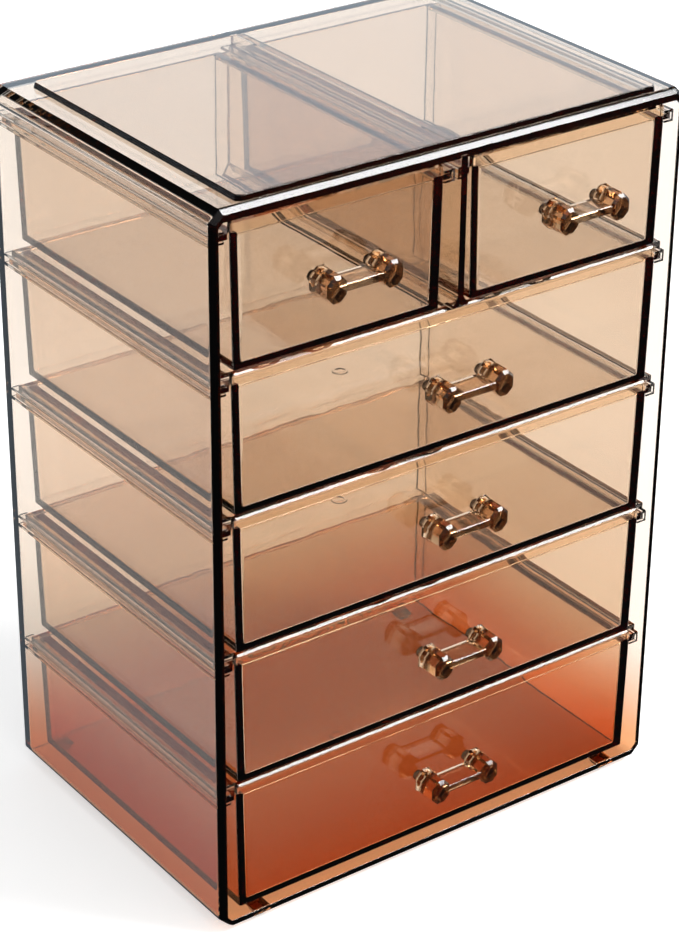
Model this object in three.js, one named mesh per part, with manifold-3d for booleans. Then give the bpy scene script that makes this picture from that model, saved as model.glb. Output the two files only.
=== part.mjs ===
import * as THREE from 'three';
import { mergeVertices } from 'three/addons/utils/BufferGeometryUtils.js';
import Module from 'manifold-3d';

// Clear tinted cabinet with six pull-out drawers: four wide ones and, above them, two small ones.
// Millimetres. X runs left to right, the drawer fronts face -Y and Z is up from the tips of the feet.

// Cabinet shell
const CASE_WIDTH = 240;
const CASE_DEPTH = 167;
const CASE_HEIGHT = 334;
const CASE_SIDE = 3.6;
const CASE_WALL = 3;
const CASE_TOP = 5.4;
const CASE_BACK = 2.6;
const CASE_CORNER = 4.8;
const BAY_CORNER = 2;
const RIM_ROUND = 2.2;

// Raised deck on the top of the cabinet
const DECK_RISE = 2.4;
const DECK_SIDE_INSET = 13.7;
const DECK_FRONT_INSET = 2.7;
const DECK_BACK_INSET = 10.5;
const DECK_CORNER = 2;
const DECK_LEAN = 0.8;

// Feet
const FOOT_HEIGHT = 3;
const FOOT_WIDTH = 8;
const FOOT_SEAT = 0.9;
const FOOT_FROM_SIDE = 22;
const FOOT_FROM_FRONT = 6;

// Clearance between pieces that touch, and how far a cut runs past the face that it opens
const FIT = 0.3;
const OVERRUN = 2;

// Drawers
const FRONT_SETBACK = 2.1;
const FRONT_GAP = 1.2;
const FLOOR_ROOM = 3.6;
const HEADROOM = 1.2;
const SIDE_ROOM = 6.5;
const MIDDLE_ROOM = 14.3;
const REAR_ROOM = 2;
const DRAWER_WALL = 2.2;
const DRAWER_SIDE = 3;
const DRAWER_ROUND = 2;
const DRAWER_LEAN = 0.9;
const BAND_HEIGHT = 6.4;
const BAND_THICKNESS = 1;

// Flanges on the drawers' sides, and the rails that they slide in
const FLANGE_DROP = 5.6;
const FLANGE_THICKNESS = 2.6;
const FLANGE_REAR_STOP = 1.4;
const RAIL_ARM = 1.1;
const RAIL_WEB = 1;
const RAIL_SIDE_ROOM = 1.5;
const RAIL_SETBACK = 4;

// Shelves, which are shallow trays turned upside down, and the upright between the small drawers
const SHELF_DROP = 0.8;
const SHELF_PLATE = 2.2;
const SHELF_LIP = 1.6;
const SHELF_SETBACK = 6;
const SHELF_REAR_ROOM = 6.4;
const DIVIDER_THICKNESS = 3.2;
const DIVIDER_OFFSET = 1.3;
const DIVIDER_SEAT = 1.5;
const DIVIDER_FOOT_RISE = 5.4;
const DIVIDER_FOOT_SPREAD = 3.4;
const DIVIDER_FOOT_LEG = 1.5;

// Handles
const POST_SPACING = 27.2;
const POST_WIDTH = 9.8;
const POST_HEIGHT = 12;
const POST_CORNER = 3.3;
const POST_LENGTH = 13.4;
const NECK_LENGTH = 5;
const NECK_WIDTH = 5;
const BAR_THICKNESS = 3.6;
const BAR_DEPTH = 11.2;
const BAR_EDGE = 0.4;

// Counts, and shares of the sizes above
const HALF = 0.5;
const WIDE_ROWS = 4;
const ROWS = WIDE_ROWS + 1;
const ARC_STEPS = 6;
const BEVEL_STEPS = 5;
const NECK_SIDES = 16;
const INNER_ROUND_SHARE = 0.4;
const BEVEL_SHARE = 0.9;
const FOOT_TIP_SHARE = 0.65;
const POST_REACH_SHARES = [0, 0.06, 0.26, 0.9, 1];
const POST_SCALE_SHARES = [0.96, 1.08, 1, 0.98, 0.76];
const BAR_START_SHARE = 0.1;

// Places that follow from the sizes
const baseZ = FOOT_HEIGHT;
const topZ = baseZ + CASE_HEIGHT;
const frontY = -CASE_DEPTH * HALF;
const backY = CASE_DEPTH * HALF;
const bayHalf = CASE_WIDTH * HALF - CASE_SIDE;
const bayFloorZ = baseZ + CASE_WALL;
const ceilingZ = topZ - CASE_TOP;
const bayHeight = ceilingZ - bayFloorZ;
const bayBackY = backY - CASE_BACK;
const frontHeight = (bayHeight - FLOOR_ROOM - HEADROOM - FRONT_GAP * (ROWS - 1)) / ROWS;
const rowPitch = frontHeight + FRONT_GAP;
const drawerFrontY = frontY + FRONT_SETBACK;
const drawerLength = bayBackY - REAR_ROOM - drawerFrontY;
const wideHalf = bayHalf - SIDE_ROOM;
const middleHalf = MIDDLE_ROOM * HALF;
const railHeight = FLANGE_THICKNESS + (FIT + RAIL_ARM) * 2;
const handleReach = NECK_LENGTH + POST_LENGTH - FRONT_SETBACK;

const wasm = await Module();
wasm.setup();

function toSolid(geometry) {
  const bare = geometry.clone();
  bare.deleteAttribute('normal');
  bare.deleteAttribute('uv');
  const merged = mergeVertices(bare);
  return new wasm.Manifold(new wasm.Mesh({
    numProp: 3,
    vertProperties: new Float32Array(merged.attributes.position.array),
    triVerts: new Uint32Array(merged.index.array),
  }));
}

function toGeometry(solid) {
  const mesh = solid.getMesh();
  const indexed = new THREE.BufferGeometry();
  indexed.setAttribute('position', new THREE.BufferAttribute(mesh.vertProperties, mesh.numProp));
  indexed.setIndex(new THREE.BufferAttribute(mesh.triVerts, 1));
  const faceted = indexed.toNonIndexed();
  faceted.computeVertexNormals();
  return faceted;
}

function clearPlastic(color, opacity) {
  return new THREE.MeshStandardMaterial({
    color,
    roughness: 0.08,
    metalness: 0,
    transparent: true,
    opacity,
  });
}

function piece(name, solid, material) {
  const mesh = new THREE.Mesh(toGeometry(solid), material);
  mesh.name = name;
  return mesh;
}

// A box between two values on each axis, given in either order.
function block(xa, xb, ya, yb, za, zb) {
  const box = new THREE.BoxGeometry(Math.abs(xb - xa), Math.abs(yb - ya), Math.abs(zb - za));
  box.translate((xa + xb) * HALF, (ya + yb) * HALF, (za + zb) * HALF);
  return toSolid(box);
}

function roundedOutline(width, height, radius) {
  const w = width * HALF;
  const h = height * HALF;
  const quarter = Math.PI * HALF;
  const outline = new THREE.Shape();
  outline.moveTo(radius - w, -h);
  outline.absarc(w - radius, radius - h, radius, -quarter, 0);
  outline.absarc(w - radius, h - radius, radius, 0, quarter);
  outline.absarc(radius - w, h - radius, radius, quarter, Math.PI);
  outline.absarc(radius - w, radius - h, radius, Math.PI, Math.PI + quarter);
  return outline;
}

// A rectangle with its four corners cut off at 45 degrees.
function cutCornerOutline(width, height, corner) {
  const w = width * HALF;
  const h = height * HALF;
  return new THREE.Shape([
    new THREE.Vector2(corner - w, -h),
    new THREE.Vector2(w - corner, -h),
    new THREE.Vector2(w, corner - h),
    new THREE.Vector2(w, h - corner),
    new THREE.Vector2(w - corner, h),
    new THREE.Vector2(corner - w, h),
    new THREE.Vector2(-w, h - corner),
    new THREE.Vector2(-w, corner - h),
  ]);
}

// Extrudes an outline drawn in X and Z towards +Y, starting at y = 0.
function alongY(outline, length, bevel = {}) {
  const shape = new THREE.ExtrudeGeometry(outline, {
    depth: length,
    bevelEnabled: false,
    curveSegments: ARC_STEPS,
    ...bevel,
  });
  shape.rotateX(Math.PI * HALF);
  shape.translate(0, length, 0);
  return shape;
}

function roundBevel(size) {
  return {
    bevelEnabled: true,
    bevelThickness: size,
    bevelSize: size,
    bevelOffset: -size,
    bevelSegments: BEVEL_STEPS,
  };
}

function rowBottom(row) {
  return bayFloorZ + FLOOR_ROOM + rowPitch * row;
}

function rowTop(row) {
  return rowBottom(row) + frontHeight;
}

function railTop(row) {
  return rowTop(row) - FLANGE_DROP + FIT + RAIL_ARM;
}

function shelfTop(row) {
  return rowTop(row) - SHELF_DROP;
}

// The raised deck. Its sides lean inward towards the top.
function deckBlock(bottom, top) {
  const rise = top - bottom;
  const width = CASE_WIDTH - DECK_SIDE_INSET * 2;
  const y0 = frontY + DECK_FRONT_INSET;
  const y1 = backY - DECK_BACK_INSET;
  const depth = y1 - y0;
  const deck = new THREE.ExtrudeGeometry(cutCornerOutline(width, depth, DECK_CORNER), {
    depth: rise,
    bevelEnabled: false,
  });
  const points = deck.attributes.position;
  for (let i = 0; i < points.count; i += 1) {
    const lean = DECK_LEAN * (points.getZ(i) / rise) * 2;
    points.setX(i, points.getX(i) * (1 - lean / width));
    points.setY(i, points.getY(i) * (1 - lean / depth));
  }
  deck.translate(0, (y0 + y1) * HALF, bottom);
  return toSolid(deck);
}

// A channel-shaped rail that stands out from a wall at x = wallX towards side (1 or -1).
function rail(wallX, side, room, row) {
  const top = railTop(row);
  const bottom = top - railHeight;
  const tip = wallX + side * (room - RAIL_SIDE_ROOM);
  const start = frontY + RAIL_SETBACK;
  const bar = block(wallX - side * FIT, tip, start, bayBackY + FIT, bottom, top);
  const channel = block(
    wallX + side * RAIL_WEB, tip + side * OVERRUN,
    start - OVERRUN, bayBackY,
    bottom + RAIL_ARM, top - RAIL_ARM,
  );
  return bar.subtract(channel);
}

function footPlaces() {
  const x = CASE_WIDTH * HALF - FOOT_FROM_SIDE;
  const y = CASE_DEPTH * HALF - FOOT_FROM_FRONT;
  return [
    ['foot_front_left', -x, -y],
    ['foot_front_right', x, -y],
    ['foot_rear_left', -x, y],
    ['foot_rear_right', x, y],
  ];
}

function caseBox() {
  const straight = CASE_DEPTH - RIM_ROUND * 2;
  const outside = alongY(
    cutCornerOutline(CASE_WIDTH, CASE_HEIGHT, CASE_CORNER), straight, roundBevel(RIM_ROUND),
  );
  outside.translate(0, frontY + RIM_ROUND, baseZ + CASE_HEIGHT * HALF);
  const bay = alongY(
    cutCornerOutline(bayHalf * 2, bayHeight, BAY_CORNER), bayBackY - frontY + OVERRUN,
  );
  bay.translate(0, frontY - OVERRUN, bayFloorZ + bayHeight * HALF);
  const deck = deckBlock(topZ - CASE_WALL * HALF, topZ + DECK_RISE);
  return toSolid(outside).add(deck).subtract(toSolid(bay));
}

// The slot in the ceiling holds the top edge of the divider.
function dividerSlot() {
  const half = DIVIDER_THICKNESS * HALF + FIT;
  return block(
    DIVIDER_OFFSET - half, DIVIDER_OFFSET + half,
    frontY - OVERRUN, bayBackY,
    ceilingZ - OVERRUN, ceilingZ + DIVIDER_SEAT,
  );
}

function footPocket(x, y) {
  const half = FOOT_WIDTH * HALF + FIT;
  return block(x - half, x + half, y - half, y + half, baseZ - OVERRUN, baseZ + FOOT_SEAT);
}

function caseShell() {
  let shell = caseBox().subtract(dividerSlot());
  for (const [, x, y] of footPlaces()) {
    shell = shell.subtract(footPocket(x, y));
  }
  for (let row = 0; row < ROWS; row += 1) {
    shell = shell.add(rail(-bayHalf, 1, SIDE_ROOM, row)).add(rail(bayHalf, -1, SIDE_ROOM, row));
  }
  return shell;
}

// A foot narrows from its pocket to its tip.
function foot() {
  const height = FOOT_HEIGHT + FOOT_SEAT - FIT;
  const pad = new THREE.BoxGeometry(FOOT_WIDTH, FOOT_WIDTH, height);
  const points = pad.attributes.position;
  for (let i = 0; i < points.count; i += 1) {
    const share = points.getZ(i) < 0 ? FOOT_TIP_SHARE : 1;
    points.setX(i, points.getX(i) * share);
    points.setY(i, points.getY(i) * share);
  }
  pad.translate(0, 0, height * HALF);
  return toSolid(pad);
}

// A shelf rests on the rails of its row and closes the top of the drawer below.
function shelf(row) {
  const half = bayHalf - FIT;
  const y0 = frontY + SHELF_SETBACK;
  const y1 = bayBackY - SHELF_REAR_ROOM;
  const bottom = railTop(row) + FIT;
  const slab = block(-half, half, y0, y1, bottom, shelfTop(row));
  const hollow = block(
    SHELF_LIP - half, half - SHELF_LIP,
    y0 + SHELF_LIP, y1 - SHELF_LIP,
    bottom - OVERRUN, shelfTop(row) - SHELF_PLATE,
  );
  return slab.subtract(hollow);
}

// The divider is an upright on a forked foot, with a rail on each side for the small drawers.
function divider() {
  const half = DIVIDER_THICKNESS * HALF;
  const bottom = shelfTop(WIDE_ROWS - 1) + FIT;
  const top = ceilingZ + DIVIDER_SEAT - FIT;
  const toe = half + DIVIDER_FOOT_SPREAD;
  const heel = toe - DIVIDER_FOOT_LEG * 2;
  const outline = new THREE.Shape([
    new THREE.Vector2(-half, top),
    new THREE.Vector2(-half, bottom + DIVIDER_FOOT_RISE),
    new THREE.Vector2(-toe, bottom),
    new THREE.Vector2(-heel, bottom),
    new THREE.Vector2(0, bottom + DIVIDER_FOOT_RISE - DIVIDER_FOOT_LEG),
    new THREE.Vector2(heel, bottom),
    new THREE.Vector2(toe, bottom),
    new THREE.Vector2(half, bottom + DIVIDER_FOOT_RISE),
    new THREE.Vector2(half, top),
  ]);
  const upright = alongY(outline, bayBackY - FIT - frontY);
  upright.translate(DIVIDER_OFFSET, frontY, 0);
  const frontNotch = block(
    DIVIDER_OFFSET - toe * 2, DIVIDER_OFFSET + toe * 2,
    frontY - OVERRUN, frontY + SHELF_SETBACK,
    bottom - OVERRUN, rowBottom(WIDE_ROWS) - FRONT_GAP * HALF,
  );
  const rearTrim = block(
    -bayHalf, bayHalf, bayBackY - FIT, bayBackY + OVERRUN, bottom - OVERRUN, top + OVERRUN,
  );
  const leftFace = DIVIDER_OFFSET - half;
  const rightFace = DIVIDER_OFFSET + half;
  return toSolid(upright)
    .add(rail(leftFace, -1, middleHalf + leftFace, WIDE_ROWS))
    .add(rail(rightFace, 1, middleHalf - rightFace, WIDE_ROWS))
    .subtract(frontNotch)
    .subtract(rearTrim);
}

// A block with round edges below and at its corners. Its front stays upright, and its sides and
// rear lean inward towards the floor. It makes the outside and the hollow of a drawer.
function tub(width, length, height, round) {
  const bevel = round * BEVEL_SHARE;
  const body = new THREE.ExtrudeGeometry(roundedOutline(width, length, round), {
    depth: height,
    curveSegments: ARC_STEPS,
    ...roundBevel(bevel),
  });
  body.translate(0, length * HALF, bevel);
  const points = body.attributes.position;
  for (let i = 0; i < points.count; i += 1) {
    const lean = DRAWER_LEAN * (1 - Math.min(points.getZ(i) / height, 1));
    points.setX(i, points.getX(i) * (1 - (lean * 2) / width));
    points.setY(i, points.getY(i) * (1 - lean / length));
  }
  return toSolid(body).intersect(block(-width, width, -length, length * 2, 0, height));
}

// A flange runs along the outside of a drawer's side, as far out as the web of its rail.
function flange(side, half, room) {
  const top = frontHeight - FLANGE_DROP;
  return block(
    side * (half - DRAWER_WALL * HALF), side * (half + room - RAIL_WEB - FIT),
    DRAWER_WALL, drawerLength - FLANGE_REAR_STOP,
    top - FLANGE_THICKNESS, top,
  );
}

// Drawn with its front face on y = 0, its underside on z = 0 and its middle on x = 0.
function tray(width, leftRoom, rightRoom) {
  const half = width * HALF;
  const sideTop = frontHeight - FLANGE_DROP;
  const hollow = tub(
    width - DRAWER_SIDE * 2, drawerLength - DRAWER_WALL * 2, frontHeight,
    DRAWER_ROUND * INNER_ROUND_SHARE,
  ).translate([0, DRAWER_WALL, DRAWER_WALL]);
  const aboveSides = block(
    -width, width, DRAWER_WALL, drawerLength + OVERRUN, sideTop, frontHeight + OVERRUN,
  );
  const band = block(
    DRAWER_WALL * HALF - half, half - DRAWER_WALL * HALF,
    DRAWER_WALL * HALF, DRAWER_WALL + BAND_THICKNESS,
    frontHeight - BAND_HEIGHT, frontHeight,
  );
  return tub(width, drawerLength, frontHeight, DRAWER_ROUND)
    .add(flange(-1, half, leftRoom))
    .add(flange(1, half, rightRoom))
    .subtract(hollow)
    .subtract(aboveSides)
    .add(band);
}

// An eight-sided post that points towards -Y from y = 0. It flares a little at its root.
function post() {
  const steps = POST_REACH_SHARES.length - 1;
  const shape = new THREE.ExtrudeGeometry(cutCornerOutline(POST_WIDTH, POST_HEIGHT, POST_CORNER), {
    depth: POST_LENGTH,
    steps,
    bevelEnabled: false,
  });
  const points = shape.attributes.position;
  for (let i = 0; i < points.count; i += 1) {
    const ring = Math.round((points.getZ(i) / POST_LENGTH) * steps);
    points.setX(i, points.getX(i) * POST_SCALE_SHARES[ring]);
    points.setY(i, points.getY(i) * POST_SCALE_SHARES[ring]);
    points.setZ(i, POST_LENGTH * POST_REACH_SHARES[ring]);
  }
  shape.rotateX(Math.PI * HALF);
  return toSolid(shape);
}

// The narrow stub between a post and the drawer's front.
function neck() {
  const end = NECK_LENGTH + BAR_EDGE;
  const stub = new THREE.CylinderGeometry(NECK_WIDTH * HALF, NECK_WIDTH * HALF, end - FIT, NECK_SIDES);
  stub.translate(0, -(end + FIT) * HALF, 0);
  return toSolid(stub);
}

// The flat bar between the two posts.
function gripBar() {
  const bar = new THREE.ExtrudeGeometry(cutCornerOutline(BAR_DEPTH, BAR_THICKNESS, BAR_EDGE), {
    depth: POST_SPACING,
    bevelEnabled: false,
  });
  bar.rotateX(Math.PI * HALF);
  bar.rotateZ(Math.PI * HALF);
  bar.translate(
    -POST_SPACING * HALF, -NECK_LENGTH - POST_LENGTH * BAR_START_SHARE - BAR_DEPTH * HALF, 0,
  );
  return toSolid(bar);
}

// Two posts and a bar moulded as one piece, which stands in front of y = 0 on two necks.
function handle() {
  let grip = gripBar();
  for (const side of [-1, 1]) {
    const x = side * POST_SPACING * HALF;
    grip = grip.add(post().translate([x, -NECK_LENGTH, 0])).add(neck().translate([x, 0, 0]));
  }
  return grip;
}

function drawer(name, x0, x1, row, leftRoom, rightRoom, color) {
  const group = new THREE.Group();
  group.add(piece(`${name}_tray`, tray(x1 - x0, leftRoom, rightRoom), clearPlastic(color, 0.4)));
  const grip = piece(`${name}_handle`, handle(), clearPlastic('#b5683c', 0.6));
  grip.position.z = frontHeight * HALF;
  group.add(grip);
  group.position.set((x0 + x1) * HALF, drawerFrontY, rowBottom(row));
  return group;
}

function drawers() {
  const group = new THREE.Group();
  const wideColors = ['#96472a', '#a65a34', '#bf8257', '#caa07c'];
  for (let row = 0; row < WIDE_ROWS; row += 1) {
    const name = `wide_drawer_${row + 1}`;
    group.add(drawer(name, -wideHalf, wideHalf, row, SIDE_ROOM, SIDE_ROOM, wideColors[row]));
  }
  const dividerHalf = DIVIDER_THICKNESS * HALF;
  const leftRoom = middleHalf + DIVIDER_OFFSET - dividerHalf;
  const rightRoom = middleHalf - DIVIDER_OFFSET - dividerHalf;
  group.add(drawer(
    'small_drawer_left', -wideHalf, -middleHalf, WIDE_ROWS, SIDE_ROOM, leftRoom, '#cda683',
  ));
  group.add(drawer(
    'small_drawer_right', middleHalf, wideHalf, WIDE_ROWS, rightRoom, SIDE_ROOM, '#cfae90',
  ));
  return group;
}

function cabinet() {
  const group = new THREE.Group();
  group.add(piece('case_shell', caseShell(), clearPlastic('#c99f7d', 0.35)));
  for (let row = 0; row < WIDE_ROWS; row += 1) {
    group.add(piece(`shelf_${row + 1}`, shelf(row), clearPlastic('#bd8a63', 0.4)));
  }
  group.add(piece('divider', divider(), clearPlastic('#b98560', 0.4)));
  for (const [name, x, y] of footPlaces()) {
    const pad = piece(name, foot(), clearPlastic('#4a2a1c', 0.7));
    pad.position.set(x, y, 0);
    group.add(pad);
  }
  group.add(drawers());
  // The origin lies under the middle of the whole part, handles included.
  group.position.y = handleReach * HALF;
  return group;
}

export default cabinet();
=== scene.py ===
import math

import bmesh
import bpy
from mathutils import Matrix, Vector


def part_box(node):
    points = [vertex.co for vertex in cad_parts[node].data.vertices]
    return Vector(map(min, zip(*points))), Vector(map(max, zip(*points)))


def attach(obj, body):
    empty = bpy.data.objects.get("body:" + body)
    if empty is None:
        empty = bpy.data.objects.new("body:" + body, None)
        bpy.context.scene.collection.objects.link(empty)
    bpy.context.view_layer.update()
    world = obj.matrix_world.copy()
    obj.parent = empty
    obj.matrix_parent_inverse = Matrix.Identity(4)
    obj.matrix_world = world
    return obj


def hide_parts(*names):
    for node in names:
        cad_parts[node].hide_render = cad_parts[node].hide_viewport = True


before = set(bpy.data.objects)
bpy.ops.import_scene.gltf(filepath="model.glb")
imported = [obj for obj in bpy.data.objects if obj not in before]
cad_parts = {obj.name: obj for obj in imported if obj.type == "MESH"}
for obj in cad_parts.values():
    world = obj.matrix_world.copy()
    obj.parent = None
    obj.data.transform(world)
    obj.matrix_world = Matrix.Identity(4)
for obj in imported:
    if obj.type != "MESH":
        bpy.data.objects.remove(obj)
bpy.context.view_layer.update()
scene = bpy.context.scene

# Sizes in millimetres. The outer sizes are the same as in the CAD source.
MM = 0.001
CASE_WIDTH = 240
CASE_DEPTH = 167
CASE_HEIGHT = 334
CASE_SIDE = 3.6
CASE_WALL = 3
CASE_TOP = 5.4
CASE_BACK = 2.6
CASE_CORNER = 4.8
CASE_CORNER_ROUND = 0.4
BAY_CORNER = 2
BAY_CORNER_ROUND = 1.2
BAY_MOUTH_ROUND = 0.5
BAY_BACK_ROUND = 1.4
RIM_CUT = 2.2
RIM_FINE = 0.4
RIM_EASE = 0.3
FINE_RIM_DEPTHS = (0, 0.1, 0.25, 0.45, 0.8)
RIM_DEPTHS = FINE_RIM_DEPTHS + (1.4, 1.9, 2.2, 2.6, 3.2)
DECK_RISE = 2.4
DECK_SIDE_INSET = 13.7
DECK_FRONT_INSET = 2.7
DECK_BACK_INSET = 10.5
DECK_CORNER = 2
DECK_CORNER_ROUND = 0.7
DECK_EDGE = 0.5
DECK_LEAN = 0.8
FOOT_HEIGHT = 3
FOOT_WIDTH = 8
FOOT_SEAT = 0.9
FOOT_FROM_SIDE = 22
FOOT_FROM_FRONT = 6
FOOT_CORNER = 1
FIT = 0.3
OVERRUN = 2
FRONT_SETBACK = 2.1
FRONT_GAP = 1.2
FLOOR_ROOM = 3.6
HEADROOM = 1.2
SIDE_ROOM = 6.5
MIDDLE_ROOM = 14.3
REAR_ROOM = 2
DRAWER_WALL = 2.2
DRAWER_SIDE = 4.2
DRAWER_ROUND = 1.4
DRAWER_EDGE = 0.8
LEAST_ROUND = 0.2
SIDE_LIP_ROUND = 0.5
INNER_CORNER = 1.2
INNER_EDGE = 0.8
TOP_CUT = 1
TOP_CUT_EASE = 0.1
FRONT_OVERLAP = 5
RING_MARGIN = 0.3
DRAWER_LEAN = 0.9
STRAIGHT_BELOW_FLANGE = 3
BAND_HEIGHT = 6.4
BAND_THICKNESS = 1
BAND_EDGE = 0.3
FLANGE_DROP = 5.6
FLANGE_THICKNESS = 2.6
FLANGE_REAR_STOP = 1.4
FLANGE_EDGE = 0.3
FLANGE_STEP = 0.02
RAIL_ARM = 1.1
RAIL_WEB = 1
RAIL_SIDE_ROOM = 1.5
RAIL_SETBACK = 4
RAIL_ROOT = 1.2
RAIL_EDGE = 0.3
CHANNEL_EDGE = 0.25
SHELF_DROP = 0.8
SHELF_PLATE = 2.2
SHELF_LIP = 1.6
SHELF_SETBACK = 6
SHELF_REAR_ROOM = 6.4
SHELF_EDGE = 0.45
SHELF_HOLLOW_EDGE = 0.5
DIVIDER_THICKNESS = 3.2
DIVIDER_OFFSET = 1.3
DIVIDER_SEAT = 1.5
DIVIDER_FOOT_RISE = 5.4
DIVIDER_FOOT_SPREAD = 3.4
DIVIDER_FOOT_LEG = 1.5
DIVIDER_CORNER = 0.2
POST_SPACING = 27.2
POST_WIDTH = 9.8
POST_HEIGHT = 12
POST_CORNER = 3.3
POST_LENGTH = 13.4
NECK_LENGTH = 5
NECK_WIDTH = 5
BAR_THICKNESS = 3.6
BAR_DEPTH = 11.2
BAR_EDGE = 0.4
HANDLE_EDGE = 0.14
HANDLE_EDGE_ANGLE = 20
WIDE_ROWS = 4
ROWS = WIDE_ROWS + 1
POST_REACH_SHARES = (0, 0.06, 0.26, 0.9, 1)
POST_SCALE_SHARES = (0.96, 1.08, 1, 0.98, 0.76)
BAR_START_SHARE = 0.1
DECK_CORNER_SHARE = 0.3

# Steps of the rounded edges and corners, how near points are welded, and the angles in degrees
# that count as flat and as smooth
FINE_STEPS = 2
CORNER_STEPS = 3
EDGE_STEPS = 4
DRAWER_EDGE_STEPS = 5
DRAWER_CORNER_STEPS = 6
GATE_STEPS = 32
NECK_STEPS = 24
WELD_REACH = 0.002
FLAT_ANGLE = 1
SMOOTH_ANGLE = 32
DIAGONAL = math.sqrt(0.5)

# (radius, height) of the mark, and (share of the width, height) of a foot's lower and upper ends
GATE_PROFILE = ((3.7, -0.5), (3.7, 0.1), (3.4, 0.35), (2.6, 0.4), (2.2, 0.15), (1.2, 0.1))
FOOT_SOLE = ((0.55, 0), (0.62, 0.12), (0.65, 0.4))
FOOT_HEAD = ((0.97, -0.4), (1, -0.15), (0.96, 0))

# Places that follow from the sizes. Y runs from the middle of the cabinet.
case_low, case_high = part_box("case_shell")
MIDDLE_Y = (case_low.y + case_high.y) / 2
BASE_Z = FOOT_HEIGHT
TOP_Z = BASE_Z + CASE_HEIGHT
FRONT_Y = -CASE_DEPTH / 2
BACK_Y = CASE_DEPTH / 2
BAY_HALF = CASE_WIDTH / 2 - CASE_SIDE
BAY_FLOOR_Z = BASE_Z + CASE_WALL
CEILING_Z = TOP_Z - CASE_TOP
BAY_HEIGHT = CEILING_Z - BAY_FLOOR_Z
BAY_BACK_Y = BACK_Y - CASE_BACK
FRONT_HEIGHT = (BAY_HEIGHT - FLOOR_ROOM - HEADROOM - FRONT_GAP * (ROWS - 1)) / ROWS
ROW_PITCH = FRONT_HEIGHT + FRONT_GAP
DRAWER_FRONT_Y = FRONT_Y + FRONT_SETBACK
DRAWER_LENGTH = BAY_BACK_Y - REAR_ROOM - DRAWER_FRONT_Y
WIDE_HALF = BAY_HALF - SIDE_ROOM
MIDDLE_HALF = MIDDLE_ROOM / 2
RAIL_HEIGHT = FLANGE_THICKNESS + (FIT + RAIL_ARM) * 2
SIDE_TOP = FRONT_HEIGHT - FLANGE_DROP
SIDE_STRAIGHT_Z = SIDE_TOP - FLANGE_THICKNESS - STRAIGHT_BELOW_FLANGE
DECK_ROOT_Z = TOP_Z - CASE_WALL / 2
DECK_TOP_Z = TOP_Z + DECK_RISE


def row_bottom(row):
    return BAY_FLOOR_Z + FLOOR_ROOM + ROW_PITCH * row


def row_top(row):
    return row_bottom(row) + FRONT_HEIGHT


def rail_top(row):
    return row_top(row) - FLANGE_DROP + FIT + RAIL_ARM


def shelf_top(row):
    return row_top(row) - SHELF_DROP


# Outlines are lists of points in a plane, counterclockwise.
def rounded(corners, radius, steps=4):
    points = []
    count = len(corners)
    for i, corner in enumerate(corners):
        here = Vector(corner)
        to_last = (Vector(corners[i - 1]) - here).normalized()
        to_next = (Vector(corners[(i + 1) % count]) - here).normalized()
        half_angle = to_last.angle(to_next) / 2
        reach = radius / math.tan(half_angle)
        start = here + to_last * reach
        end = here + to_next * reach
        middle = here + (to_last + to_next).normalized() * (radius / math.sin(half_angle))
        sweep = math.pi - half_angle * 2
        for k in range(steps + 1):
            share = k / steps
            a = math.sin((1 - share) * sweep) / math.sin(sweep)
            b = math.sin(share * sweep) / math.sin(sweep)
            points.append(middle + (start - middle) * a + (end - middle) * b)
    return points


def box_corners(x0, x1, y0, y1):
    return [(x0, y0), (x1, y0), (x1, y1), (x0, y1)]


def cut_corners(x0, x1, y0, y1, cut):
    return [
        (x0 + cut, y0), (x1 - cut, y0), (x1, y0 + cut), (x1, y1 - cut),
        (x1 - cut, y1), (x0 + cut, y1), (x0, y1 - cut), (x0, y0 + cut),
    ]


def in_xz(points, y):
    return [(p[0], y, p[1]) for p in points]


def in_xy(points, z):
    return [(p[0], p[1], z) for p in points]


def in_yz(points, x):
    return [(x, p[0], p[1]) for p in points]


def quarter(radius, steps):
    """(inset, depth) pairs of a rounded edge, from the flat face to the full width."""
    return [
        (radius * (1 - math.sin(k / steps * math.pi / 2)), radius * (1 - math.cos(k / steps * math.pi / 2)))
        for k in range(steps + 1)
    ]


def new_object(name, mesh):
    made = bpy.data.objects.new(name, mesh)
    scene.collection.objects.link(made)
    return made


def to_object(shape):
    bmesh.ops.recalc_face_normals(shape, faces=shape.faces)
    mesh = bpy.data.meshes.new("solid")
    shape.to_mesh(mesh)
    shape.free()
    return new_object("solid", mesh)


def loft(rings):
    """A closed solid through rings of points, with a flat cap at each end."""
    shape = bmesh.new()
    loops = [[shape.verts.new(p) for p in ring] for ring in rings]
    for low, high in zip(loops, loops[1:]):
        count = len(low)
        for i in range(count):
            j = (i + 1) % count
            shape.faces.new((low[i], low[j], high[j], high[i]))
    shape.faces.new(list(reversed(loops[0])))
    shape.faces.new(loops[-1])
    return to_object(shape)


def block(xa, xb, ya, yb, za, zb, edge=0.0):
    """A box between two values on each axis, given in either order, with rounded edges."""
    x0, x1 = sorted((xa, xb))
    y0, y1 = sorted((ya, yb))
    z0, z1 = sorted((za, zb))
    shape = bmesh.new()
    bmesh.ops.create_cube(shape, size=1)
    for vert in shape.verts:
        vert.co = (
            x0 if vert.co.x < 0 else x1,
            y0 if vert.co.y < 0 else y1,
            z0 if vert.co.z < 0 else z1,
        )
    if edge:
        bmesh.ops.bevel(
            shape, geom=shape.edges[:], offset=edge, segments=CORNER_STEPS, profile=0.5, affect="EDGES",
        )
    return to_object(shape)


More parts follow.
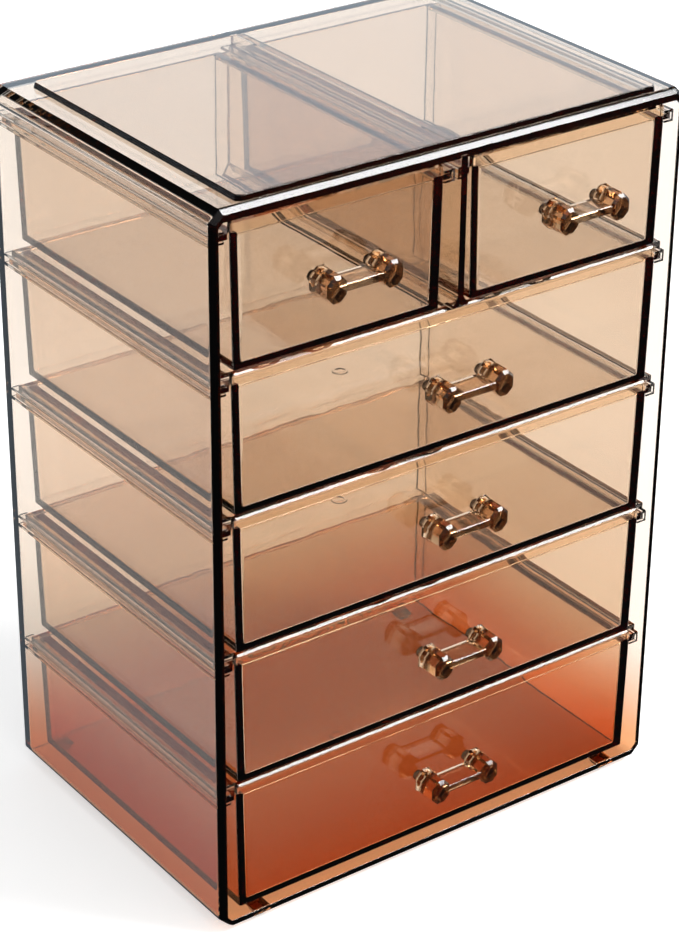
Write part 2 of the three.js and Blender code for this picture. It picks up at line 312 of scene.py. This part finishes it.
def boolean(target, tool, operation):
    modifier = target.modifiers.new("join", "BOOLEAN")
    modifier.solver = "MANIFOLD"
    modifier.operation = operation
    modifier.object = tool
    graph = bpy.context.evaluated_depsgraph_get()
    made = bpy.data.meshes.new_from_object(target.evaluated_get(graph))
    target.modifiers.clear()
    target.data = made
    bpy.data.objects.remove(tool)


def fuse(target, *tools):
    for tool in tools:
        boolean(target, tool, "UNION")


def cut(target, *tools):
    for tool in tools:
        boolean(target, tool, "DIFFERENCE")
    return target


def soften(target, width, angle):
    """Rounds the edges that turn more than the angle, in degrees."""
    shape = bmesh.new()
    shape.from_mesh(target.data)
    bmesh.ops.remove_doubles(shape, verts=shape.verts, dist=WELD_REACH)
    bmesh.ops.dissolve_limit(
        shape, angle_limit=math.radians(FLAT_ANGLE), verts=shape.verts, edges=shape.edges,
    )
    chosen = [e for e in shape.edges if e.is_manifold and e.calc_face_angle(0) > math.radians(angle)]
    bmesh.ops.bevel(
        shape, geom=chosen, offset=width, segments=FINE_STEPS, profile=0.5,
        affect="EDGES", clamp_overlap=True,
    )
    shape.to_mesh(target.data)
    shape.free()
    return target


def finish(target, name, body, nodes, material, place=(0, 0, 0), angle=SMOOTH_ANGLE):
    """Scales a piece to metres, puts it in its place and gives it its material and its body."""
    mesh = target.data
    for vert in mesh.vertices:
        vert.co = (vert.co + Vector(place)) * MM + Vector((0, MIDDLE_Y, 0))
    mesh.shade_smooth()
    mesh.set_sharp_from_angle(angle=math.radians(angle))
    modifier = target.modifiers.new("even", "WEIGHTED_NORMAL")
    modifier.mode = "FACE_AREA"
    modifier.weight = 100
    modifier.keep_sharp = True
    graph = bpy.context.evaluated_depsgraph_get()
    made = bpy.data.meshes.new_from_object(target.evaluated_get(graph))
    target.modifiers.clear()
    target.data = made
    target.name = name
    made.name = name
    made.materials.clear()
    made.materials.append(material)
    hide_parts(*nodes)
    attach(target, body)


def copy_of(target):
    return new_object("copy", target.data.copy())


# Materials. A way is an axis with its start and end in metres. Tones are (share of the way, painted shade
# multiplied into the colour of one wall), from the floor up or along a handle's posts.
UPWARD = ("Z", 0, 0.34)
HANDLE_ROOT_Y = MIDDLE_Y + DRAWER_FRONT_Y * MM
OUTWARD = ("Y", HANDLE_ROOT_Y, HANDLE_ROOT_Y - (NECK_LENGTH + POST_LENGTH) * MM)
PLAIN_TONES = ((0, (1, 1, 1)), (1, (1, 1, 1)))
# Painted shade along a handle: near black at the root of the posts, where the clear plastic looks dark,
# then plain further out.
HANDLE_PAINTED_SHADE = (
    (0, (0.07, 0.045, 0.03)), (0.32, (0.05, 0.03, 0.02)), (0.44, (1, 0.92, 0.84)), (1, (1, 1, 1)),
)
# Painted shade: a deeper colour on the strip of each drawer's front that stands above its sides.
BAND_PAINTED_SHADE = (1, 0.88, 0.74)
PLASTIC_IOR = 1.49
SEED_STEPS = (0.37, 0.53, 0.71)
WAVE_DETAIL = 1.5
SMUDGE_SCALE = 18
SMUDGE_DETAIL = 6
SMUDGE_SPREAD = 3
SMUDGE_ROUGHNESS = 0.01
SMUDGE_START = 0.45
SMUDGE_END = 0.8
CLEAN_TINT = (1.0, 0.995, 0.985)
SMUDGE_TINT = (0.985, 0.965, 0.95)
# Painted shade from the floor up: deep copper low down, standing in for the shade under the cabinet, and a
# little darker near the top.
CLEAR_PAINTED_SHADE = (
    (0, (0.86, 0.42, 0.2)), (0.23, (1, 0.965, 0.92)), (0.5, (1, 0.99, 0.98)), (0.85, (0.95, 0.94, 0.93)),
)


def paint_band_shade(nodes, links, height, colour, target):
    """Paints shade into the part of each drawer's front that stands above its sides, deepening its colour.
    """
    chain = height
    for kind, value in (
        ("SUBTRACT", row_bottom(0) * MM), ("DIVIDE", ROW_PITCH * MM), ("FRACT", 0),
        ("GREATER_THAN", (FRONT_HEIGHT - BAND_HEIGHT) / ROW_PITCH),
    ):
        step = nodes.new("ShaderNodeMath")
        step.operation = kind
        step.inputs[1].default_value = value
        links.new(chain, step.inputs[0])
        chain = step.outputs["Value"]
    mixed = nodes.new("ShaderNodeMix")
    mixed.data_type = "RGBA"
    mixed.blend_type = "MULTIPLY"
    mixed.inputs["B"].default_value = (*BAND_PAINTED_SHADE, 1)
    links.new(chain, mixed.inputs["Factor"])
    links.new(colour, mixed.inputs["A"])
    links.new(mixed.outputs["Result"], target)


def clear_plastic(
    name, tint, density, wave_height, wave_size, roughness, seed, tones=PLAIN_TONES, way=UPWARD, band=False,
):
    """Tinted plastic that absorbs light inside, with smudges, a slight ripple and painted shade along one
    way.
    """
    material = bpy.data.materials.new(name)
    material.use_nodes = True
    nodes = material.node_tree.nodes
    links = material.node_tree.links
    nodes.clear()
    output = nodes.new("ShaderNodeOutputMaterial")
    shader = nodes.new("ShaderNodeBsdfPrincipled")
    shader.inputs["IOR"].default_value = PLASTIC_IOR
    shader.inputs["Transmission Weight"].default_value = 1.0
    links.new(shader.outputs["BSDF"], output.inputs["Surface"])
    volume = nodes.new("ShaderNodeVolumeAbsorption")
    volume.inputs["Color"].default_value = (*tint, 1)
    volume.inputs["Density"].default_value = density
    links.new(volume.outputs["Volume"], output.inputs["Volume"])

    place = nodes.new("ShaderNodeTexCoord")
    shift = nodes.new("ShaderNodeMapping")
    shift.inputs["Location"].default_value = [seed * step for step in SEED_STEPS]
    links.new(place.outputs["Object"], shift.inputs["Vector"])

    smudge = nodes.new("ShaderNodeTexNoise")
    smudge.inputs["Scale"].default_value = SMUDGE_SCALE
    smudge.inputs["Detail"].default_value = SMUDGE_DETAIL
    links.new(shift.outputs["Vector"], smudge.inputs["Vector"])
    polish = nodes.new("ShaderNodeMapRange")
    polish.inputs["From Min"].default_value = SMUDGE_START
    polish.inputs["From Max"].default_value = SMUDGE_END
    polish.inputs["To Min"].default_value = roughness
    polish.inputs["To Max"].default_value = roughness * SMUDGE_SPREAD + SMUDGE_ROUGHNESS
    links.new(smudge.outputs["Fac"], polish.inputs["Value"])
    links.new(polish.outputs["Result"], shader.inputs["Roughness"])

    tone = nodes.new("ShaderNodeMix")
    tone.data_type = "RGBA"
    tone.inputs["A"].default_value = (*CLEAN_TINT, 1)
    tone.inputs["B"].default_value = (*SMUDGE_TINT, 1)
    links.new(smudge.outputs["Fac"], tone.inputs["Factor"])
    parts = nodes.new("ShaderNodeSeparateXYZ")
    links.new(place.outputs["Object"], parts.inputs["Vector"])
    rise = nodes.new("ShaderNodeMapRange")
    axis, start, end = way
    rise.inputs["From Min"].default_value = start
    rise.inputs["From Max"].default_value = end
    links.new(parts.outputs[axis], rise.inputs["Value"])
    # The ramp of tones: painted shade along the way.
    level = nodes.new("ShaderNodeValToRGB")
    level.color_ramp.interpolation = "EASE"
    for count, (share, shade) in enumerate(tones):
        # A new ramp has two stops already.
        if count < 2:
            stop = level.color_ramp.elements[count]
            stop.position = share
        else:
            stop = level.color_ramp.elements.new(share)
        stop.color = (*shade, 1)
    links.new(rise.outputs["Result"], level.inputs["Fac"])
    # Real smudges multiplied by the painted shade along the way.
    smudge_and_shade = nodes.new("ShaderNodeMix")
    smudge_and_shade.data_type = "RGBA"
    smudge_and_shade.blend_type = "MULTIPLY"
    smudge_and_shade.inputs["Factor"].default_value = 1.0
    links.new(tone.outputs["Result"], smudge_and_shade.inputs["A"])
    links.new(level.outputs["Color"], smudge_and_shade.inputs["B"])
    # With band, painted shade deepens the strip of the front above the sides.
    if not band:
        links.new(smudge_and_shade.outputs["Result"], shader.inputs["Base Color"])
    else:
        paint_band_shade(nodes, links, parts.outputs["Z"], smudge_and_shade.outputs["Result"], shader.inputs["Base Color"])

    wave = nodes.new("ShaderNodeTexNoise")
    wave.inputs["Scale"].default_value = 1 / wave_size
    wave.inputs["Detail"].default_value = WAVE_DETAIL
    links.new(shift.outputs["Vector"], wave.inputs["Vector"])
    bump = nodes.new("ShaderNodeBump")
    bump.inputs["Strength"].default_value = 1.0
    bump.inputs["Distance"].default_value = wave_height
    links.new(wave.outputs["Fac"], bump.inputs["Height"])
    links.new(bump.outputs["Normal"], shader.inputs["Normal"])
    return material


AMBER = (0.72, 0.44, 0.1)
CASE_AMBER = (0.64, 0.45, 0.24)
# Tint, density per metre, height and size of the ripple in metres, roughness and seed
case_plastic = clear_plastic("case clear plastic", CASE_AMBER, 70, 0.00012, 0.05, 0.0, 1, CLEAR_PAINTED_SHADE)
shelf_plastic = clear_plastic("shelf clear plastic", AMBER, 75, 0.00014, 0.035, 0.0, 2, CLEAR_PAINTED_SHADE)
drawer_plastic = clear_plastic(
    "drawer clear plastic", AMBER, 85, 0.0002, 0.03, 0.0, 3, CLEAR_PAINTED_SHADE, band=True,
)
handle_plastic = clear_plastic(
    "handle clear plastic", AMBER, 95, 0.00002, 0.008, 0.0, 4, HANDLE_PAINTED_SHADE, OUTWARD,
)
foot_plastic = clear_plastic("foot plastic", AMBER, 2500, 0.00004, 0.004, 0.08, 5)


# Cabinet shell
def case_outline(side_inset, low_inset, high_inset):
    half = CASE_WIDTH / 2 - side_inset
    low = BASE_Z + low_inset
    high = TOP_Z - high_inset
    low_cut = CASE_CORNER - (side_inset + low_inset) * (1 - DIAGONAL)
    high_cut = CASE_CORNER - (side_inset + high_inset) * (1 - DIAGONAL)
    corners = [
        (low_cut - half, low), (half - low_cut, low), (half, low + low_cut), (half, high - high_cut),
        (half - high_cut, high), (high_cut - half, high), (-half, high - high_cut), (-half, low + low_cut),
    ]
    return rounded(corners, CASE_CORNER_ROUND, CORNER_STEPS)


def bay_outline(spread):
    half = BAY_HALF + spread
    corners = cut_corners(
        -half, half, BAY_FLOOR_Z - spread, CEILING_Z + spread, BAY_CORNER + spread * 2 * (1 - DIAGONAL),
    )
    return rounded(corners, BAY_CORNER_ROUND, CORNER_STEPS)


def deck():
    rings = []
    edge = [(i, DECK_TOP_Z - d) for i, d in reversed(quarter(DECK_EDGE, EDGE_STEPS))]
    for pull, z in [(0, DECK_ROOT_Z)] + edge:
        lean = DECK_LEAN * (z - DECK_ROOT_Z) / (DECK_TOP_Z - DECK_ROOT_Z)
        x = CASE_WIDTH / 2 - DECK_SIDE_INSET - lean - pull
        y0 = FRONT_Y + DECK_FRONT_INSET + lean + pull
        y1 = BACK_Y - DECK_BACK_INSET - lean - pull
        corner = DECK_CORNER - pull * 2 * (1 - DIAGONAL) * DECK_CORNER_SHARE
        corners = cut_corners(-x, x, y0, y1, corner)
        rings.append(in_xy(rounded(corners, DECK_CORNER_ROUND, CORNER_STEPS), z))
    return loft(rings)


def rail(wall_x, side, room, row):
    top = rail_top(row)
    bottom = top - RAIL_HEIGHT
    tip = wall_x + side * (room - RAIL_SIDE_ROOM)
    start = FRONT_Y + RAIL_SETBACK
    bar = block(wall_x - side * RAIL_ROOT, tip, start, BAY_BACK_Y + FIT, bottom, top, RAIL_EDGE)
    channel = block(
        wall_x + side * RAIL_WEB, tip + side * OVERRUN, start - OVERRUN, BAY_BACK_Y,
        bottom + RAIL_ARM, top - RAIL_ARM, CHANNEL_EDGE,
    )
    return cut(bar, channel)


def rim_inset(size, depth):
    """How far in an edge cut at 45 degrees lies at a depth. It eases into the wall behind it."""
    left = size - depth
    return (left + math.hypot(left, RIM_EASE)) / 2


def case_shell():
    rings = []
    for depth in RIM_DEPTHS:
        wide_cut = rim_inset(RIM_CUT, depth)
        fine_cut = rim_inset(RIM_FINE, depth)
        rings.append(in_xz(case_outline(wide_cut, fine_cut, wide_cut), FRONT_Y + depth))
    for y in (FRONT_Y + RIM_CUT * 2, BACK_Y - RIM_CUT * 2):
        rings.append(in_xz(case_outline(0, 0, 0), y))
    for depth in reversed(FINE_RIM_DEPTHS):
        fine_cut = rim_inset(RIM_FINE, depth)
        rings.append(in_xz(case_outline(fine_cut, fine_cut, fine_cut), BACK_Y - depth))
    shell = loft(rings)
    mouth = [(BAY_MOUTH_ROUND, -OVERRUN)] + quarter(BAY_MOUTH_ROUND, EDGE_STEPS)
    rings = [in_xz(bay_outline(s), FRONT_Y + d) for s, d in mouth]
    back = quarter(BAY_BACK_ROUND, EDGE_STEPS)
    rings += [in_xz(bay_outline(-i), BAY_BACK_Y - d) for i, d in reversed(back)]
    fuse(shell, deck())
    cut(shell, loft(rings))
    half = DIVIDER_THICKNESS / 2 + FIT
    cut(shell, block(
        DIVIDER_OFFSET - half, DIVIDER_OFFSET + half, FRONT_Y - OVERRUN, BAY_BACK_Y,
        CEILING_Z - OVERRUN, CEILING_Z + DIVIDER_SEAT,
    ))
    pocket = FOOT_WIDTH / 2 + FIT
    for x, y in foot_places().values():
        cut(shell, block(
            x - pocket, x + pocket, y - pocket, y + pocket, BASE_Z - OVERRUN, BASE_Z + FOOT_SEAT,
        ))
    for row in range(ROWS):
        fuse(shell, rail(-BAY_HALF, 1, SIDE_ROOM, row), rail(BAY_HALF, -1, SIDE_ROOM, row))
    return shell


def foot_places():
    x = CASE_WIDTH / 2 - FOOT_FROM_SIDE
    y = CASE_DEPTH / 2 - FOOT_FROM_FRONT
    return {
        "foot_front_left": (-x, -y),
        "foot_front_right": (x, -y),
        "foot_rear_left": (-x, y),
        "foot_rear_right": (x, y),
    }


def foot():
    height = FOOT_HEIGHT + FOOT_SEAT - FIT
    rings = []
    for share, z in FOOT_SOLE + tuple((share, height + z) for share, z in FOOT_HEAD):
        half = FOOT_WIDTH / 2 * share
        corners = box_corners(-half, half, -half, half)
        rings.append(in_xy(rounded(corners, FOOT_CORNER * share), z))
    return loft(rings)


def shelf(row):
    half = BAY_HALF - FIT
    y0 = FRONT_Y + SHELF_SETBACK
    y1 = BAY_BACK_Y - SHELF_REAR_ROOM
    bottom = rail_top(row) + FIT
    slab = block(-half, half, y0, y1, bottom, shelf_top(row), SHELF_EDGE)
    hollow = block(
        SHELF_LIP - half, half - SHELF_LIP, y0 + SHELF_LIP, y1 - SHELF_LIP,
        bottom - OVERRUN, shelf_top(row) - SHELF_PLATE, SHELF_HOLLOW_EDGE,
    )
    return cut(slab, hollow)


def divider():
    half = DIVIDER_THICKNESS / 2
    bottom = shelf_top(WIDE_ROWS - 1) + FIT
    top = CEILING_Z + DIVIDER_SEAT - FIT
    toe = half + DIVIDER_FOOT_SPREAD
    heel = toe - DIVIDER_FOOT_LEG * 2
    corners = [
        (-half, top), (-half, bottom + DIVIDER_FOOT_RISE), (-toe, bottom), (-heel, bottom),
        (0, bottom + DIVIDER_FOOT_RISE - DIVIDER_FOOT_LEG), (heel, bottom), (toe, bottom),
        (half, bottom + DIVIDER_FOOT_RISE), (half, top),
    ]
    outline = [(p[0] + DIVIDER_OFFSET, p[1]) for p in rounded(corners, DIVIDER_CORNER, FINE_STEPS)]
    upright = loft([in_xz(outline, FRONT_Y), in_xz(outline, BAY_BACK_Y - FIT)])
    left = DIVIDER_OFFSET - half
    right = DIVIDER_OFFSET + half
    fuse(
        upright,
        rail(left, -1, MIDDLE_HALF + left, WIDE_ROWS),
        rail(right, 1, MIDDLE_HALF - right, WIDE_ROWS),
    )
    return cut(
        upright,
        block(
            DIVIDER_OFFSET - toe * 2, DIVIDER_OFFSET + toe * 2, FRONT_Y - OVERRUN, FRONT_Y + SHELF_SETBACK,
            bottom - OVERRUN, row_bottom(WIDE_ROWS) - FRONT_GAP / 2,
        ),
        block(-BAY_HALF, BAY_HALF, BAY_BACK_Y - FIT, BAY_BACK_Y + OVERRUN, bottom - OVERRUN, top + OVERRUN),
    )


# Drawers
def tray_ring(width, z, inset, radius, side=0.0):
    """A level ring of a drawer. Below the flanges its sides and rear lean inward."""
    lean = DRAWER_LEAN * (1 - min(z / SIDE_STRAIGHT_Z, 1))
    half = width / 2 - lean - inset - side
    corners = box_corners(-half, half, inset, DRAWER_LENGTH - lean - inset)
    return in_xy(rounded(corners, max(radius, LEAST_ROUND), DRAWER_CORNER_STEPS), z)


def tray_shape(width):
    extra = DRAWER_SIDE - DRAWER_WALL
    lip = quarter(SIDE_LIP_ROUND, CORNER_STEPS)
    rings = []
    for inset, z in quarter(DRAWER_EDGE, DRAWER_EDGE_STEPS):
        rings.append(tray_ring(width, z, inset, DRAWER_ROUND - inset))
    rings.append(tray_ring(width, SIDE_STRAIGHT_Z, 0, DRAWER_ROUND))
    for inset, drop in reversed(lip):
        rings.append(tray_ring(width, SIDE_TOP - drop, inset, DRAWER_ROUND - inset))
    for inset, drop in lip:
        rings.append(tray_ring(width, SIDE_TOP - drop, DRAWER_WALL - inset, INNER_CORNER, extra))
    rings.append(tray_ring(width, SIDE_STRAIGHT_Z, DRAWER_WALL, INNER_CORNER, extra))
    for inset, z in reversed(quarter(INNER_EDGE, EDGE_STEPS)):
        corner = INNER_CORNER - inset / 2
        rings.append(tray_ring(width, DRAWER_WALL + z, DRAWER_WALL + inset, corner, extra))
    return loft(rings)


def front_plate(width):
    """The part of a drawer's front that stands above its sides."""
    base = tray_ring(width, FRONT_HEIGHT, 0, DRAWER_ROUND)
    front = [i for i, p in enumerate(base) if p[1] < DRAWER_WALL - RING_MARGIN]
    left = [i for i in front if base[i][0] < 0]
    right = [i for i in front if base[i][0] > 0]
    cut_start = FRONT_HEIGHT - TOP_CUT
    levels = [
        (0, SIDE_TOP - FRONT_OVERLAP), (0, cut_start), (TOP_CUT_EASE, cut_start + TOP_CUT_EASE * 2),
        (TOP_CUT, FRONT_HEIGHT),
    ]
    rings = []
    for inset, z in levels:
        outer = tray_ring(width, FRONT_HEIGHT, inset, DRAWER_ROUND - inset)
        ring = [(outer[i][0], outer[i][1], z) for i in left + right]
        ring.insert(0, (ring[0][0], DRAWER_WALL, z))
        ring.append((ring[-1][0], DRAWER_WALL, z))
        rings.append(ring)
    return loft(rings)


def flange(side, half, room):
    return block(
        side * (half - DRAWER_WALL / 2), side * (half + room - RAIL_WEB - FIT),
        DRAWER_WALL, DRAWER_LENGTH - FLANGE_REAR_STOP, SIDE_TOP - FLANGE_THICKNESS, SIDE_TOP - FLANGE_STEP,
        FLANGE_EDGE,
    )


def tray(width, left_room, right_room):
    half = width / 2
    body = tray_shape(width)
    fuse(body, front_plate(width))
    fuse(body, flange(-1, half, left_room), flange(1, half, right_room))
    band = block(
        DRAWER_WALL / 2 - half, half - DRAWER_WALL / 2, DRAWER_WALL / 2, DRAWER_WALL + BAND_THICKNESS,
        FRONT_HEIGHT - BAND_HEIGHT, FRONT_HEIGHT, BAND_EDGE,
    )
    fuse(body, band)
    if half > WIDE_HALF / 2 + MIDDLE_HALF:
        fuse(body, moved(gate_mark(), 0, DRAWER_LENGTH / 2, DRAWER_WALL))
    return body


def gate_mark():
    """The round mark that the moulding leaves in the middle of a wide drawer's bottom."""
    rings = []
    turns = [k / GATE_STEPS * math.tau for k in range(GATE_STEPS)]
    for radius, z in GATE_PROFILE:
        rings.append([(radius * math.cos(t), radius * math.sin(t), z) for t in turns])
    return loft(rings)


# Handles
def post():
    rings = []
    for reach, scale in zip(POST_REACH_SHARES, POST_SCALE_SHARES):
        w = POST_WIDTH / 2 * scale
        h = POST_HEIGHT / 2 * scale
        rings.append(in_xz(cut_corners(-w, w, -h, h, POST_CORNER * scale), -POST_LENGTH * reach))
    return loft(rings)


def neck():
    end = NECK_LENGTH + BAR_EDGE
    turns = [k / NECK_STEPS * math.tau for k in range(NECK_STEPS)]
    ring = [(NECK_WIDTH / 2 * math.cos(t), NECK_WIDTH / 2 * math.sin(t)) for t in turns]
    return loft([in_xz(ring, -FIT), in_xz(ring, -end)])


def grip_bar():
    middle = -NECK_LENGTH - POST_LENGTH * BAR_START_SHARE - BAR_DEPTH / 2
    corners = cut_corners(
        middle - BAR_DEPTH / 2, middle + BAR_DEPTH / 2, -BAR_THICKNESS / 2, BAR_THICKNESS / 2, BAR_EDGE,
    )
    return loft([in_yz(corners, -POST_SPACING / 2), in_yz(corners, POST_SPACING / 2)])


def moved(target, x, y, z):
    for vert in target.data.vertices:
        vert.co += Vector((x, y, z))
    return target


def handle():
    grip = grip_bar()
    for side in (-1, 1):
        x = side * POST_SPACING / 2
        fuse(grip, moved(post(), x, -NECK_LENGTH, 0), moved(neck(), x, 0, 0))
    return soften(grip, HANDLE_EDGE, HANDLE_EDGE_ANGLE)


finish(case_shell(), "cabinet", "cabinet", ["case_shell"], case_plastic)
for row in range(WIDE_ROWS):
    number = row + 1
    finish(
        shelf(row), f"shelf_plate_{number}", "cabinet", [f"shelf_{number}"], shelf_plastic,
    )
finish(divider(), "divider_panel", "cabinet", ["divider"], shelf_plastic)
for name, (x, y) in foot_places().items():
    finish(foot(), f"{name}_pad", "cabinet", [name], foot_plastic, (x, y, 0))

left_room = MIDDLE_HALF + DIVIDER_OFFSET - DIVIDER_THICKNESS / 2
right_room = MIDDLE_HALF - DIVIDER_OFFSET - DIVIDER_THICKNESS / 2
wide_tray = tray(WIDE_HALF * 2, SIDE_ROOM, SIDE_ROOM)
small_width = WIDE_HALF - MIDDLE_HALF
left_tray = tray(small_width, SIDE_ROOM, left_room)
right_tray = tray(small_width, right_room, SIDE_ROOM)
grip = handle()
small_x = (WIDE_HALF + MIDDLE_HALF) / 2
drawers = [(f"wide_drawer_{n + 1}", wide_tray, 0, n) for n in range(WIDE_ROWS)]
drawers.append(("small_drawer_left", left_tray, -small_x, WIDE_ROWS))
drawers.append(("small_drawer_right", right_tray, small_x, WIDE_ROWS))
for name, pattern, x, row in drawers:
    place = (x, DRAWER_FRONT_Y, row_bottom(row))
    finish(
        copy_of(pattern), f"{name}_box", name, [f"{name}_tray"], drawer_plastic, place,
    )
    place = (x, DRAWER_FRONT_Y, row_bottom(row) + FRONT_HEIGHT / 2)
    finish(
        copy_of(grip), f"{name}_pull", name, [f"{name}_handle"], handle_plastic, place,
        HANDLE_EDGE_ANGLE,
    )
for pattern in (wide_tray, left_tray, right_tray, grip):
    bpy.data.objects.remove(pattern)

# Floor
FLOOR_REACH = 12
FLOOR_SHADE = 0.92
FLOOR_ROUGHNESS = 0.9
FLOOR_GLOW = 0.63
FLOOR_GLOW_COLOUR = (1, 0.99, 0.98)
floor_mesh = bpy.data.meshes.new("floor")
floor_corners = box_corners(-FLOOR_REACH, FLOOR_REACH, -FLOOR_REACH, FLOOR_REACH)
floor_mesh.from_pydata(in_xy(floor_corners, 0), [], [(0, 1, 2, 3)])
floor = new_object("floor", floor_mesh)
floor_material = bpy.data.materials.new("pale floor")
floor_material.use_nodes = True
floor_shader = floor_material.node_tree.nodes["Principled BSDF"]
floor_shader.inputs["Base Color"].default_value = (FLOOR_SHADE, FLOOR_SHADE, FLOOR_SHADE, 1)
floor_shader.inputs["Roughness"].default_value = FLOOR_ROUGHNESS
floor_shader.inputs["Specular IOR Level"].default_value = 0.0
floor_shader.inputs["Emission Color"].default_value = (*FLOOR_GLOW_COLOUR, 1)
floor_shader.inputs["Emission Strength"].default_value = FLOOR_GLOW
floor_mesh.materials.append(floor_material)
floor.visible_glossy = False

# Strengths and directions of the studio's lights, with the cosines at which each begins and is full
BAND_LIGHT = 1.42
SIDE_LIGHT = 0.05
KEY_LIGHT = 1.6
FILL_LIGHT = 0.5
BOX_LIGHT = 25
BOX_DIRECTION = (0.52, -0.42, 0.75)
FILL_DIRECTION = (-0.505, 0.757, -0.415)
KEY_DIRECTION = (0.05, -0.45, 0.89)
BEHIND_DIRECTION = (0.55, 0.83, 0)
BOX_REACH = (0.978, 0.992)
FILL_REACH = (0.6, 0.92)
KEY_REACH = (0.72, 0.93)
BEHIND_REACH = (0.55, 0.85)
BAND_RISE = (-0.2, 0.15)
BAND_FALL = (0.4, 0.5)
BAND_AFTERGLOW = 0.04
COOL_COLOUR = (0.8, 0.95, 1.1)

# World: a dim studio with a wide light overhead, a small bright box, and a low band behind the cabinet
world = bpy.data.worlds.new("studio")
scene.world = world
world.use_nodes = True
sky = world.node_tree.nodes
sky_links = world.node_tree.links
sky.clear()
sky_out = sky.new("ShaderNodeOutputWorld")
sky_light = sky.new("ShaderNodeBackground")
direction = sky.new("ShaderNodeTexCoord")


def toward(axis):
    dot = sky.new("ShaderNodeVectorMath")
    dot.operation = "DOT_PRODUCT"
    dot.inputs[1].default_value = Vector(axis).normalized()
    sky_links.new(direction.outputs["Generated"], dot.inputs[0])
    return dot.outputs["Value"]


def ramp(value, reach, at_low, at_high):
    made = sky.new("ShaderNodeMapRange")
    made.interpolation_type = "SMOOTHSTEP"
    made.inputs["From Min"].default_value = reach[0]
    made.inputs["From Max"].default_value = reach[1]
    made.inputs["To Min"].default_value = at_low
    made.inputs["To Max"].default_value = at_high
    sky_links.new(value, made.inputs["Value"])
    return made.outputs["Result"]


def combine(kind, first, second):
    made = sky.new("ShaderNodeMath")
    made.operation = kind
    sky_links.new(first, made.inputs[0])
    sky_links.new(second, made.inputs[1])
    return made.outputs["Value"]


height = toward((0, 0, 1))
behind = ramp(toward(BEHIND_DIRECTION), BEHIND_REACH, 0, 1)
band_low = ramp(height, BAND_RISE, 0, BAND_LIGHT)
band_high = ramp(height, BAND_FALL, 1, BAND_AFTERGLOW)
low_light = combine("MULTIPLY", behind, combine("MULTIPLY", band_low, band_high))
fill_light = ramp(toward(FILL_DIRECTION), FILL_REACH, 0, FILL_LIGHT)
cool_light = combine("ADD", low_light, fill_light)
key_light = ramp(toward(KEY_DIRECTION), KEY_REACH, SIDE_LIGHT, KEY_LIGHT)
box_light = ramp(toward(BOX_DIRECTION), BOX_REACH, 0, BOX_LIGHT)
sky_links.new(combine("ADD", key_light, box_light), sky_light.inputs["Strength"])
cool_sky = sky.new("ShaderNodeBackground")
cool_sky.inputs["Color"].default_value = (*COOL_COLOUR, 1)
sky_links.new(cool_light, cool_sky.inputs["Strength"])
both = sky.new("ShaderNodeAddShader")
sky_links.new(sky_light.outputs["Background"], both.inputs[0])
sky_links.new(cool_sky.outputs["Background"], both.inputs[1])
sky_links.new(both.outputs["Shader"], sky_out.inputs["Surface"])

# Camera. It was fitted to the corners of the case in the photograph.
CAMERA_PLACE = (-0.649, -0.88085, 0.743)
CAMERA_LENS = 105.35
AZIMUTH = math.radians(-36.21)
ELEVATION = math.radians(28.22)
ROLL = math.radians(0.49)
back = Vector((
    math.sin(AZIMUTH) * math.cos(ELEVATION), -math.cos(AZIMUTH) * math.cos(ELEVATION), math.sin(ELEVATION),
))
level_right = (-back).cross(Vector((0, 0, 1))).normalized()
level_up = level_right.cross(-back).normalized()
right = level_right * math.cos(ROLL) + level_up * math.sin(ROLL)
up = level_up * math.cos(ROLL) - level_right * math.sin(ROLL)
camera_data = bpy.data.cameras.new("camera")
camera_data.sensor_fit = "VERTICAL"
camera_data.sensor_height = 36
camera_data.lens = CAMERA_LENS
camera_data.clip_end = 50
camera = bpy.data.objects.new("camera", camera_data)
scene.collection.objects.link(camera)
camera.matrix_world = Matrix((
    (right.x, up.x, back.x, CAMERA_PLACE[0]),
    (right.y, up.y, back.y, CAMERA_PLACE[1]),
    (right.z, up.z, back.z, CAMERA_PLACE[2]),
    (0, 0, 0, 1),
))
scene.camera = camera

# Render. Light has to pass through many clear walls.
CLEAR_BOUNCES = 40
scene.view_settings.view_transform = "Standard"
scene.cycles.max_bounces = CLEAR_BOUNCES
scene.cycles.transmission_bounces = CLEAR_BOUNCES
scene.cycles.glossy_bounces = 24
scene.cycles.transparent_max_bounces = 16
